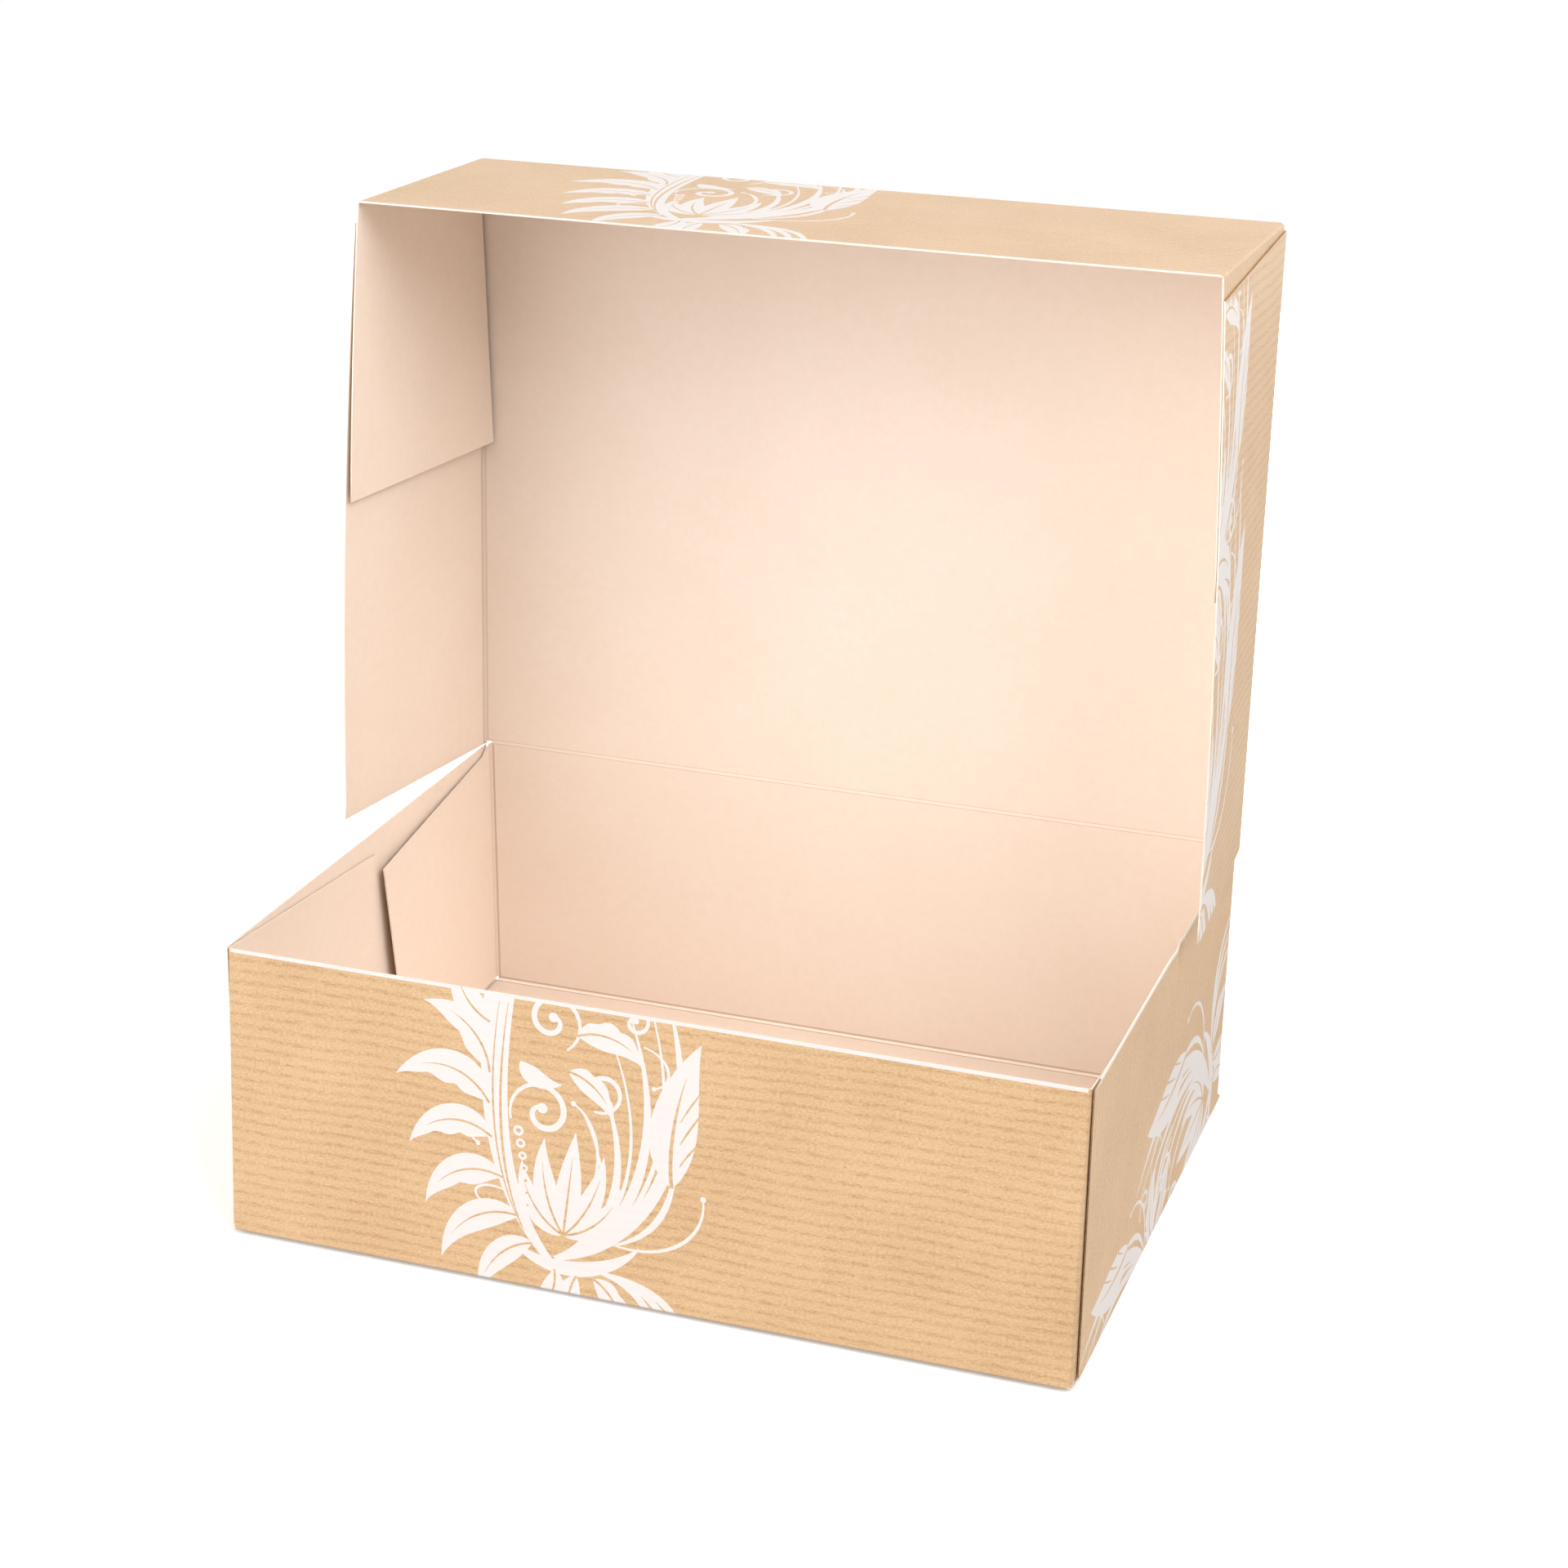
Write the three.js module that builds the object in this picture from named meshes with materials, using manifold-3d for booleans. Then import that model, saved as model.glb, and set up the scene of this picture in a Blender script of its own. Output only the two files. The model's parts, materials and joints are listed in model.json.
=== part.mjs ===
// A hinged-lid pastry box folded from one sheet of board: an open tray with leaning front and
// back walls and corner flaps, and a full-depth lid that turns on the crease along the back wall.
// Millimetres, +Z up. The origin is the middle of the tray's underside, and the front faces -Y.

import * as THREE from 'three';
import { mergeVertices } from 'three/addons/utils/BufferGeometryUtils.js';
import Module from 'manifold-3d';

const wasm = await Module();
wasm.setup();

// Board
const board = 0.5;
const foldRadius = 1.05;
const foldSteps = 4;
const glueLap = 0.1;

// Tray
const trayWidth = 300;
const trayDepth = 226;
const trayHeight = 104;
const frontLean = 5.4;
const backLean = 3.7;
const sideWallSetback = 6;
const flapRise = 1;

// Tray corner flaps, folded in behind the side walls
const frontFlapLength = 112;
const frontFlapDrop = 2.4;
const backFlapLength = 103;
const backFlapDrop = 3;
const backFlapSlope = 9;
const backFlapCut = 9;
const backFlapStandOff = 3.5;

// Lid
const lidGap = 0.7;
const lidLength = 229;
const lidSeat = 0.25;
const lidFloorClearance = 0.75;
const lidLean = THREE.MathUtils.degToRad(0.85);
const lidSideRise = 1.5;
const lidCornerRecess = 1.5;
const lidOpenEdgeRecess = 8;
const leftSplay = 9.5;
const rightSplay = 6.5;
const splayCells = 10;
const lidFlapLength = 107;
const lidFlapInset = 1.5;

// Worked out from the sizes above
const halfWidth = trayWidth / 2;
const halfDepth = trayDepth / 2;
const frontTop = -halfDepth + frontLean;
const backTop = halfDepth - backLean;
const hingeHeight = trayHeight + board + lidSeat;
const lidHeight = hingeHeight - lidFloorClearance;
const lidHalfWidth = halfWidth + lidGap + board;
const reach = trayWidth + trayDepth + trayHeight;

const kraftBoard = new THREE.MeshStandardMaterial({
  name: 'kraft_printed_board',
  color: 0xd9b384,
  roughness: 0.8,
  metalness: 0,
});

// Outline of a strip of board with round folds: its outside runs through the corner points, and
// the board lies to the left of the way they run.
function foldedOutline(corners) {
  const points = corners.map(([u, v]) => new THREE.Vector2(u, v));
  const normals = points.slice(1).map((point, i) => {
    const along = point.clone().sub(points[i]).normalize();
    return new THREE.Vector2(-along.y, along.x);
  });
  const outside = [points[0].clone()];
  const inside = [points[0].clone().addScaledVector(normals[0], board)];
  for (let i = 1; i < points.length - 1; i++) {
    const before = normals[i - 1];
    const after = normals[i];
    const spread = foldRadius / (1 + before.dot(after));
    const centre = points[i].clone().addScaledVector(before, spread).addScaledVector(after, spread);
    for (let step = 0; step <= foldSteps; step++) {
      const toward = before.clone().lerp(after, step / foldSteps).normalize();
      outside.push(centre.clone().addScaledVector(toward, -foldRadius));
      inside.push(centre.clone().addScaledVector(toward, board - foldRadius));
    }
  }
  const last = points.length - 1;
  outside.push(points[last].clone());
  inside.push(points[last].clone().addScaledVector(normals[last - 1], board));
  return new THREE.Shape([...outside, ...inside.reverse()]);
}

function polygon(corners) {
  return new THREE.Shape(corners.map(([u, v]) => new THREE.Vector2(u, v)));
}

// A geometry whose corners are shared, with nothing but its positions.
function welded(geometry) {
  const bare = geometry.index ? geometry : geometry.clone();
  bare.deleteAttribute('normal');
  bare.deleteAttribute('uv');
  return mergeVertices(bare);
}

// An outline drawn in Y and Z, extruded along X between two places.
function acrossX(shape, fromX, toX) {
  const geometry = new THREE.ExtrudeGeometry(shape, { depth: toX - fromX, bevelEnabled: false });
  const axes = new THREE.Matrix4().makeBasis(
    new THREE.Vector3(0, 1, 0),
    new THREE.Vector3(0, 0, 1),
    new THREE.Vector3(1, 0, 0),
  );
  axes.setPosition(fromX, 0, 0);
  return welded(geometry.applyMatrix4(axes));
}

// An outline drawn in X and Z, extruded along Y between two places.
function alongY(shape, fromY, toY) {
  const geometry = new THREE.ExtrudeGeometry(shape, { depth: toY - fromY, bevelEnabled: false });
  const axes = new THREE.Matrix4().makeBasis(
    new THREE.Vector3(1, 0, 0),
    new THREE.Vector3(0, 0, 1),
    new THREE.Vector3(0, -1, 0),
  );
  axes.setPosition(0, toY, 0);
  return welded(geometry.applyMatrix4(axes));
}

// The same piece on the left of the box.
function mirrored(geometry) {
  const copy = geometry.clone().applyMatrix4(new THREE.Matrix4().makeScale(-1, 1, 1));
  const index = copy.index.array.slice();
  for (let i = 0; i < index.length; i += 3) {
    [index[i + 1], index[i + 2]] = [index[i + 2], index[i + 1]];
  }
  copy.setIndex(new THREE.BufferAttribute(index, 1));
  return copy;
}

function solid(geometry) {
  return new wasm.Manifold(new wasm.Mesh({
    numProp: 3,
    vertProperties: new Float32Array(geometry.attributes.position.array),
    triVerts: new Uint32Array(geometry.index.array),
  }));
}

function joined(solids) {
  return solids.reduce((whole, piece) => whole.add(piece));
}

function named(name, whole) {
  const mesh = whole.getMesh();
  const geometry = new THREE.BufferGeometry();
  geometry.setAttribute('position', new THREE.BufferAttribute(mesh.vertProperties, 3));
  geometry.setIndex(new THREE.BufferAttribute(mesh.triVerts, 1));
  geometry.computeVertexNormals();
  const piece = new THREE.Mesh(geometry, kraftBoard);
  piece.name = name;
  return piece;
}

// The front wall, floor and back wall, as one bent strip. Its walls end inside the side walls, and
// its floor stops where the side folds begin.
function frontFloorBack() {
  const end = halfWidth - board + glueLap;
  const strip = solid(acrossX(foldedOutline([
    [frontTop, trayHeight],
    [-halfDepth, 0],
    [halfDepth, 0],
    [backTop, trayHeight],
  ]), -end, end));
  const underFold = polygon([
    [halfWidth - foldRadius, -foldRadius],
    [halfWidth + foldRadius, -foldRadius],
    [halfWidth + foldRadius, foldRadius],
    [halfWidth - foldRadius, foldRadius],
  ]);
  const corner = alongY(underFold, -reach, reach);
  return strip.subtract(solid(corner)).subtract(solid(mirrored(corner)));
}

// The side walls and the floor between them, set back from the front and back walls.
function leftFloorRight() {
  return solid(alongY(foldedOutline([
    [-halfWidth, trayHeight],
    [-halfWidth, 0],
    [halfWidth, 0],
    [halfWidth, trayHeight],
  ]), -halfDepth + sideWallSetback, halfDepth - sideWallSetback));
}

// How far back the middle of a leaning wall lies at a height.
function frontWallMiddle(z) {
  return -halfDepth + board / 2 + (frontLean * z) / trayHeight;
}

function backWallMiddle(z) {
  return halfDepth - board / 2 - (backLean * z) / trayHeight;
}

// A front flap lies flat on the side wall that it is glued to.
function frontFlap() {
  const low = board + flapRise;
  const outline = polygon([
    [frontWallMiddle(low), low],
    [-halfDepth + frontFlapLength, low],
    [-halfDepth + frontFlapLength, trayHeight - frontFlapDrop],
    [frontWallMiddle(trayHeight), trayHeight],
  ]);
  const outerFace = halfWidth - board + glueLap;
  return acrossX(outline, outerFace - board, outerFace);
}

// A back flap stands off its side wall, further in the lower half than at the top.
function backFlap() {
  const low = board + flapRise;
  const root = backWallMiddle(trayHeight / 2);
  const outline = polygon([
    [root - backFlapLength + backFlapCut, low],
    [backWallMiddle(low), low],
    [backWallMiddle(trayHeight), trayHeight - backFlapDrop],
    [root - backFlapLength, trayHeight - backFlapDrop - backFlapSlope],
  ]);
  const outerFace = halfWidth - board + glueLap;
  const plate = acrossX(outline, outerFace - board, outerFace);
  const slope = backFlapStandOff / backFlapLength;
  const lean = new THREE.Matrix4().set(
    1, slope, 0, -slope * root,
    0, 1, 0, 0,
    0, 0, 1, 0,
    0, 0, 0, 1,
  );
  return plate.applyMatrix4(lean);
}

function tray() {
  const flaps = [frontFlap(), backFlap()];
  return joined([
    frontFloorBack(),
    leftFloorRight(),
    ...flaps.map((flap) => solid(flap)),
    ...flaps.map((flap) => solid(mirrored(flap))),
  ]);
}

// The lid is drawn standing up from its crease: its panel runs up Z and its walls run to -Y.
function lidPanelAndFront() {
  const end = lidHalfWidth - board + glueLap;
  return solid(acrossX(foldedOutline([
    [0, 0],
    [0, lidLength],
    [-lidHeight, lidLength],
  ]), -end, end));
}

// The side walls spread outward towards their free edge, most at the crease and not at all at the
// lid's front wall, which holds them in.
function splayed(geometry, splay) {
  const position = geometry.attributes.position;
  for (let i = 0; i < position.count; i++) {
    const out = -position.getY(i) / lidHeight;
    const along = position.getZ(i) / lidLength;
    position.setX(i, position.getX(i) + splay * out * (1 - along * along));
  }
  return geometry;
}

// A plate of board in the plane of a lid side wall, cut to an outline and spread with it.
function lidSidePlate(outline, outerFace, splay) {
  const plate = new THREE.BoxGeometry(board, lidHeight, lidLength, 1, splayCells, splayCells);
  plate.translate(outerFace - board / 2, -lidHeight / 2, lidLength / 2);
  const cutter = acrossX(outline, outerFace - reach, outerFace + reach);
  return solid(splayed(welded(plate), splay)).intersect(solid(cutter));
}

function lidSideOutline() {
  return polygon([
    [0, lidSideRise],
    [0, lidLength - lidCornerRecess],
    [-lidHeight, lidLength - lidOpenEdgeRecess],
    [-lidHeight, lidSideRise],
  ]);
}

function lidFlapOutline() {
  const top = lidLength - board / 2;
  return polygon([
    [-board - lidFlapInset, top],
    [-lidHeight, top],
    [-lidHeight, lidLength - lidFlapLength],
    [-board - lidFlapInset, lidLength - lidFlapLength],
  ]);
}

function lidSide(splay) {
  const wall = lidSidePlate(lidSideOutline(), lidHalfWidth, splay);
  const flap = lidSidePlate(lidFlapOutline(), lidHalfWidth - board + glueLap, splay);
  return wall.add(flap);
}

// A finished solid as a geometry of its own, so that it can be mirrored.
function geometryOf(whole) {
  const mesh = whole.getMesh();
  const geometry = new THREE.BufferGeometry();
  geometry.setAttribute('position', new THREE.BufferAttribute(mesh.vertProperties.slice(), 3));
  geometry.setIndex(new THREE.BufferAttribute(mesh.triVerts.slice(), 1));
  return geometry;
}

function lid() {
  const left = solid(mirrored(geometryOf(lidSide(leftSplay))));
  return joined([lidPanelAndFront(), lidSide(rightSplay), left]);
}

const box = new THREE.Group();
box.add(named('base_tray', tray()));

const hinge = new THREE.Group();
hinge.position.set(0, backTop, hingeHeight);
hinge.rotation.x = -lidLean;
hinge.add(named('lid', lid()));
box.add(hinge);

export default box;
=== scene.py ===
"""A pastry box folded from one printed board: an open tray and a full-depth lid on its rear crease.

Each half is drawn flat, as it is cut, with its print laid into it, and is then folded into place.
Flat sizes are in millimetres: a runs across the box and b runs from the tray's front to the lid.
"""

import json
import math

import bmesh
import bpy
from mathutils import Matrix, Vector
from mathutils.geometry import delaunay_2d_cdt


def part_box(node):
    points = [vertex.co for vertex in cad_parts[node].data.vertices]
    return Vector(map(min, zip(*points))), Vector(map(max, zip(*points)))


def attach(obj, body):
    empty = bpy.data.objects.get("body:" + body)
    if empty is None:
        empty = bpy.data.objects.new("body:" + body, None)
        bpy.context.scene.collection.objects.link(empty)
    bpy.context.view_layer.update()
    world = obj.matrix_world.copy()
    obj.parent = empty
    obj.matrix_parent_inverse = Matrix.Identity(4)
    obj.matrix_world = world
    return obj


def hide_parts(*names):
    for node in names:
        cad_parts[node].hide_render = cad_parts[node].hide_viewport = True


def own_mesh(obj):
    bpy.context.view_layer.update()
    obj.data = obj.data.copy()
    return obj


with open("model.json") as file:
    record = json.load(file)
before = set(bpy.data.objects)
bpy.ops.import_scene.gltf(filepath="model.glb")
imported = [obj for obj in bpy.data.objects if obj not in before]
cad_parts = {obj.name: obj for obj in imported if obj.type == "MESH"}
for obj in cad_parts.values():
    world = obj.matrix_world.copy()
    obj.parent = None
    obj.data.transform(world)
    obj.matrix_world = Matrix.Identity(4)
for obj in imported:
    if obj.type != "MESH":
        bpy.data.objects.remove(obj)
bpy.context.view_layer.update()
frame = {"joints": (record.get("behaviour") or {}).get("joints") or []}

MM = 0.001

# Sizes read from the frame
tray_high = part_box("base_tray")[1] / MM
hinge = next(joint for joint in frame["joints"] if joint["name"] == "lid_hinge")
HALF_WIDTH = tray_high.x
HALF_DEPTH = tray_high.y
TRAY_HEIGHT = tray_high.z
HINGE_Y = hinge["pos_m"][1] / MM
HINGE_Z = hinge["pos_m"][2] / MM
LID_LEAN = math.radians(-hinge["range_deg"][0] - 90)

# The board and its folds
BOARD = 0.5
FOLD_RADIUS = 1.05
FOLD_LENGTH = FOLD_RADIUS * math.pi / 2
FOLD_STEPS = 4

# Painted shade beside a fold: how far from it, and how strongly it marks the board there
FOLD_SHADE_LINES = ((0.3, 0.3), (0.75, 0.3), (1.2, 0.0))

# The lid's crease: how strongly its painted highlight and its wear mark the board, how wide its bead
# is, and where it ends
CREASE_HIGHLIGHT_AND_WEAR = 0.72
CREASE_BEAD = 0.5
CREASE_EDGE = 0.9

# Walls, and the spacing of the even cuts
FRONT_LEAN = 5.4
SIDE_SETBACK = 6.0
GRID = 9.0

# Tray flaps
FLAP_GAP = 0.45
FLAP_RISE = 1.0
FRONT_FLAP = 112.0
FRONT_FLAP_DROP = 2.4
FRONT_FLAP_TAPER = 5.0
BACK_FLAP = 103.0
BACK_FLAP_DROP = 3.0
BACK_FLAP_TAPER = 3.2
BACK_FLAP_SLOPE = 9.0
BACK_FLAP_CUT = 9.0
BACK_FLAP_STAND_OFF = 1.8
BACK_FLAP_SPRING = 3.6

# Where the top of a back flap leaves its wall: how far along the flap, and how far down
BACK_FLAP_ROOT = ((9.0, 3.8), (5.0, 1.4), (0.0, 0.6))

# The corners of board that the cuts leave at each end of a side wall's fold
FRONT_WEB_CUT = 0.6
FRONT_WEB_FOOT = 0.8
FRONT_WEB_TOP = 1.6
BACK_WEB_CUT = 0.3
BACK_WEB_FOOT = 2.2
BACK_WEB_TOP = 5.0

# Buckles in the right wall's top edge: how far out, where along it and how wide, and how far
# below the edge and how tall. The sheet is cut finer at the drops and places that follow.
BUCKLES = ((0.45, 7, 5, 0, 7), (-0.9, 15, 2.2, 6, 5))
BUCKLE_DROPS = (2, 4, 6, 8, 11, 15)
BUCKLE_PLACES = (2, 5, 8, 11, 13, 15, 17, 20, 24)

# Lid
LID_LENGTH = 229.0
LID_HEIGHT = 104.0
LID_HALF_WIDTH = HALF_WIDTH + 1.2
LID_SIDE_RISE = 1.5
LID_CREASE_LAP = 1.2
LID_CORNER_RECESS = 2.5
LID_OPEN_EDGE_RECESS = 8.0
LEFT_SPLAY = 9.5
RIGHT_SPLAY = 6.5
LID_FLAP = 107.0
LID_FLAP_GAP = 0.15
LID_FLAP_INSET = 1.5
LID_FLAP_OFF_PANEL_SIDE = 5.0
LID_FLAP_OFF_OPEN_SIDE = 1.6

# Print
MARGIN = 1.2
LID_SIDE_MARGIN = 0.6
UV_SCALE = 0.01

# Axes of the flat sheet that a fold is placed along
ACROSS = 0
ALONG = 1


class Shader:
    """One socket of a material, with arithmetic that adds the nodes it needs."""

    def __init__(self, tree, socket):
        self.tree = tree
        self.socket = socket

    def node(self, kind, settings=None, inputs=None, output=0):
        """Adds one node, sets it up, feeds its inputs and returns one of its outputs."""
        made = self.tree.nodes.new(kind)
        for name, value in (settings or {}).items():
            setattr(made, name, value)
        for name, value in (inputs or {}).items():
            if isinstance(value, Shader):
                self.tree.links.new(value.socket, made.inputs[name])
            else:
                made.inputs[name].default_value = value
        return Shader(self.tree, made.outputs[output])

    def maths(self, operation, *values):
        return self.node("ShaderNodeMath", {"operation": operation}, dict(enumerate(values)))

    def __add__(self, other):
        return self.maths("ADD", self, other)

    def __sub__(self, other):
        return self.maths("SUBTRACT", self, other)

    def __mul__(self, other):
        return self.maths("MULTIPLY", self, other)

    def __rsub__(self, other):
        return self.maths("SUBTRACT", other, self)

    def sine(self):
        return self.maths("SINE", self)

    def clamped(self, low, high):
        """0 at low and below, 1 at high and above, and even between them."""
        return self.node(
            "ShaderNodeMapRange",
            {"clamp": True},
            {"Value": self, "From Min": low, "From Max": high},
        )

    def mix(self, first, second):
        """A colour between two, by this value."""
        return self.node(
            "ShaderNodeMix",
            {"data_type": "RGBA"},
            {0: self, 6: first, 7: second},
            output=2,
        )

    def noise(self, scale, detail=3.0, roughness=0.5, stretch=None):
        """Noise over this place, finer with a larger scale, and drawn out by a stretch."""
        place = self
        if stretch:
            place = self.node("ShaderNodeMapping", None, {"Vector": self, "Scale": stretch})
        return self.node(
            "ShaderNodeTexNoise",
            None,
            {"Vector": place, "Scale": scale, "Detail": detail, "Roughness": roughness},
        )


def material(name, paint):
    """A new material whose principled shader is fed by paint."""
    made = bpy.data.materials.new(name)
    made.use_nodes = True
    tree = made.node_tree
    surface = tree.nodes["Principled BSDF"]
    for socket, value in paint(Shader(tree, None)).items():
        if isinstance(value, Shader):
            tree.links.new(value.socket, surface.inputs[socket])
        else:
            surface.inputs[socket].default_value = value
    return made


def flat_place(start):
    """Where a point lies on the flat sheet."""
    return start.node("ShaderNodeUVMap", {"uv_map": "sheet"})


def fold_wear_and_shade(start):
    """How strongly a fold marks the board, for its wear outside and its bump, painted highlight and
    painted shade inside: 1 along its bead, less beside it, 0 on flat board.
    """
    return start.node("ShaderNodeAttribute", {"attribute_name": "fold"}, output=2)


RIB_PITCH = 3.9
RIB_TURNS = 2 * math.pi / (RIB_PITCH * UV_SCALE)


def ribs(place):
    """The ribs of the printed paper: 1 along each darker line and 0 between the lines."""
    along = place.node("ShaderNodeSeparateXYZ", None, {"Vector": place}, output=1)
    wander = place.noise(1.3, 2.0, 0.5)
    waver = place.noise(30.0, 4.0, 0.7, (0.5, 1.5, 1.0))
    shifted = along + (wander - 0.5) * 0.07 + (waver - 0.5) * 0.022
    line = (shifted * RIB_TURNS).sine().clamped(-0.2, 1.0)
    breaks = place.noise(46.0, 5.0, 0.8, (0.5, 1.6, 1.0)).clamped(0.40, 0.60)
    return line * (breaks * 0.95 + 0.05)


def bumps(height, strength, depth):
    """The way that the surface faces, tilted where a height rises or falls."""
    return height.node(
        "ShaderNodeBump", None, {"Strength": strength, "Distance": depth, "Height": height}
    )


def kraft_print(start):
    place = flat_place(start)
    line = ribs(place)
    grain = place.noise(150.0, 4.0, 0.7, (0.6, 1.0, 1.0))
    cloud = place.noise(2.6, 3.0)
    tone = line * 0.5 + (grain - 0.5) * 2.1 + (cloud - 0.5) * 0.6 + 0.27
    colour = tone.clamped(0.0, 1.0).mix((0.65, 0.44, 0.247, 1), (0.42, 0.235, 0.088, 1))
    flecks = place.noise(120.0, 2.0, 0.5, (0.3, 1.0, 1.0)).clamped(0.70, 0.76)
    colour = (flecks * 0.5).mix(colour, (0.30, 0.16, 0.06, 1))
    worn = fold_wear_and_shade(start).clamped(0.3, 1.0) * 0.2
    colour = worn.mix(colour, (0.66, 0.47, 0.30, 1))
    return {
        "Base Color": colour,
        "Roughness": grain.clamped(0.2, 0.8) * 0.12 + 0.58,
        "Normal": bumps(line * 0.5 + grain * 0.3, 0.25, 0.0003),
        "Specular IOR Level": 0.4,
        "Coat Weight": 0.7,
        "Coat Roughness": 0.35,
    }


def bare_white(start):
    place = flat_place(start)
    grain = place.noise(200.0, 3.0, 0.6)
    tone = ribs(place) * 0.2 + (grain - 0.5) * 0.6 + 0.4
    colour = tone.clamped(0.0, 1.0).mix((0.745, 0.70, 0.68, 1), (0.67, 0.615, 0.59, 1))
    return {
        "Base Color": colour,
        "Roughness": 0.5,
        "Normal": bumps(grain, 0.12, 0.0002),
        "Specular IOR Level": 0.45,
        "Coat Weight": 0.7,
        "Coat Roughness": 0.35,
    }


def inner_board(start):
    place = flat_place(start)
    mottle = place.noise(26.0, 4.0, 0.6)
    cloud = place.noise(3.0, 2.0)
    grain = place.noise(230.0, 2.0, 0.6, (0.6, 1.0, 1.0))
    tone = (mottle - 0.5) * 0.8 + (grain - 0.5) * 0.9 + (cloud - 0.5) * 0.5 + 0.4
    colour = tone.clamped(0.0, 1.0).mix((0.89, 0.78, 0.69, 1), (0.83, 0.692, 0.58, 1))
    speck_size = place.noise(64.0, 1.0)
    specks = place.noise(170.0, 1.5, 0.5).clamped(0.735, 0.79) * speck_size.clamped(0.45, 0.6)
    colour = (specks * 0.5).mix(colour, (0.42, 0.24, 0.13, 1))
    fold = fold_wear_and_shade(start)
    # Painted shade: a darker line on each side of a fold
    painted_fold_shade = fold.clamped(0.02, 0.3) * (1 - fold.clamped(0.35, 0.6))
    colour = (painted_fold_shade * 0.6).mix(colour, (0.50, 0.31, 0.19, 1))
    # Painted highlight along a fold's bead
    colour = (fold.clamped(0.55, 0.95) * 0.9).mix(colour, (0.97, 0.89, 0.81, 1))
    height = mottle * 0.3 + grain * 0.5 + fold.clamped(0.3, 1.0) * 1.4
    return {
        "Base Color": colour,
        "Roughness": 0.78,
        "Normal": bumps(height, 0.2, 0.0003),
        "Specular IOR Level": 0.3,
    }


def cut_edge(start):
    place = flat_place(start)
    layers = place.noise(150.0, 3.0, 0.6)
    colour = layers.clamped(0.3, 0.75).mix((0.86, 0.77, 0.68, 1), (0.78, 0.66, 0.54, 1))
    return {"Base Color": colour, "Roughness": 0.8}


def shaded_edge(start):
    """The cut edge of a side wall that faces the glued flap, painted dark as the shade of the gap
    beside it.
    """
    place = flat_place(start)
    layers = place.noise(60.0, 3.0, 0.6)
    colour = layers.clamped(0.3, 0.7).mix((0.22, 0.12, 0.06, 1), (0.40, 0.25, 0.14, 1))
    return {"Base Color": colour, "Roughness": 0.9}


KRAFT = material("kraft_print", kraft_print)
WHITE = material("bare_white", bare_white)
INSIDE = material("inner_board", inner_board)
EDGE = material("cut_edge", cut_edge)
GAP_SHADE_EDGE = material("shaded_edge", shaded_edge)

# What a part of a sheet shows outside, inside and on its cut edge
PRINTED, BARE, PAINTED_GAP_SHADE = range(3)
OUTSIDES = (KRAFT, WHITE, KRAFT)
INSIDES = (INSIDE, INSIDE, INSIDE)
EDGES = (EDGE, EDGE, GAP_SHADE_EDGE)


class Fold:
    """A strip seen edge on: straight runs between corners, with a round fold at each of them."""

    def __init__(self, corners, radius):
        self.runs = []
        points = [Vector(corner) for corner in corners]
        used = [0.0] * len(points)
        turns = [0.0] * len(points)
        for i in range(1, len(points) - 1):
            before = (points[i] - points[i - 1]).normalized()
            after = (points[i + 1] - points[i]).normalized()
            turns[i] = math.atan2(before.cross(after), before.dot(after))
            used[i] = radius * math.tan(abs(turns[i]) / 2)
        place = 0.0
        for i in range(len(points) - 1):
            along = (points[i + 1] - points[i]).normalized()
            start = points[i] + along * used[i]
            length = (points[i + 1] - points[i]).length - used[i] - used[i + 1]
            self.runs.append((place, length, start, along, 0.0))
            place += length
            if i + 2 < len(points):
                bend = abs(turns[i + 1]) * radius
                self.runs.append((place, bend, start + along * length, along, turns[i + 1]))
                place += bend
        self.length = place

    def at(self, place):
        """The point there, and the direction to the left of the way that the strip runs."""
        for start, length, point, along, turn in self.runs:
            if place <= start + length or (start, length) == self.runs[-1][:2]:
                break
        gone = place - start
        if turn:
            angle = turn * gone / length
            radius = length / abs(turn)
            side = math.copysign(1, turn)
            left = Vector((-along.y, along.x))
            centre = point + left * side * radius
            arm = Matrix.Rotation(angle, 2) @ (point - centre)
            return centre + arm, Matrix.Rotation(angle, 2) @ left
        return point + along * gone, Vector((-along.y, along.x))

    def bends(self):
        """The start and the length of each round fold."""
        return [(start, length) for start, length, _, _, turn in self.runs if turn]


def fold_lines(bends, direction=1):
    """Places to cut the sheet at each round fold, with how strongly the fold marks the board.

    A fold stands up as a bead with a painted highlight, with a line of painted shade on each side.
    """
    lines = {}
    for start, length in bends:
        for step in range(FOLD_STEPS + 1):
            lines[direction * (start + length * step / FOLD_STEPS)] = 1.0
        for off, mark in FOLD_SHADE_LINES:
            lines[direction * (start - off)] = mark
            lines[direction * (start + length + off)] = mark
    return lines


# The tray from front to back, starting at the floor's middle, and across to each side
front_run = Fold([(0, 0), (-HALF_DEPTH, 0), (FRONT_LEAN - HALF_DEPTH, TRAY_HEIGHT)], FOLD_RADIUS)
back_run = Fold([(0, 0), (HALF_DEPTH, 0), (HINGE_Y, HINGE_Z)], FOLD_RADIUS)
side_run = Fold([(0, 0), (HALF_WIDTH, 0), (HALF_WIDTH, TRAY_HEIGHT)], FOLD_RADIUS)
FLAP_FACE = HALF_WIDTH - BOARD - FLAP_GAP
front_corner = Fold([(0, 0), (FLAP_FACE, 0), (FLAP_FACE, FRONT_FLAP)], FOLD_RADIUS)
back_corner = Fold(
    [(0, 0), (FLAP_FACE, 0), (FLAP_FACE - BACK_FLAP_STAND_OFF, BACK_FLAP)], FOLD_RADIUS
)
FLOOR_HALF_A = side_run.bends()[0][0]
FLOOR_HALF_B = front_run.bends()[0][0]
FLOOR_BACK_B = back_run.bends()[0][0]

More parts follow.
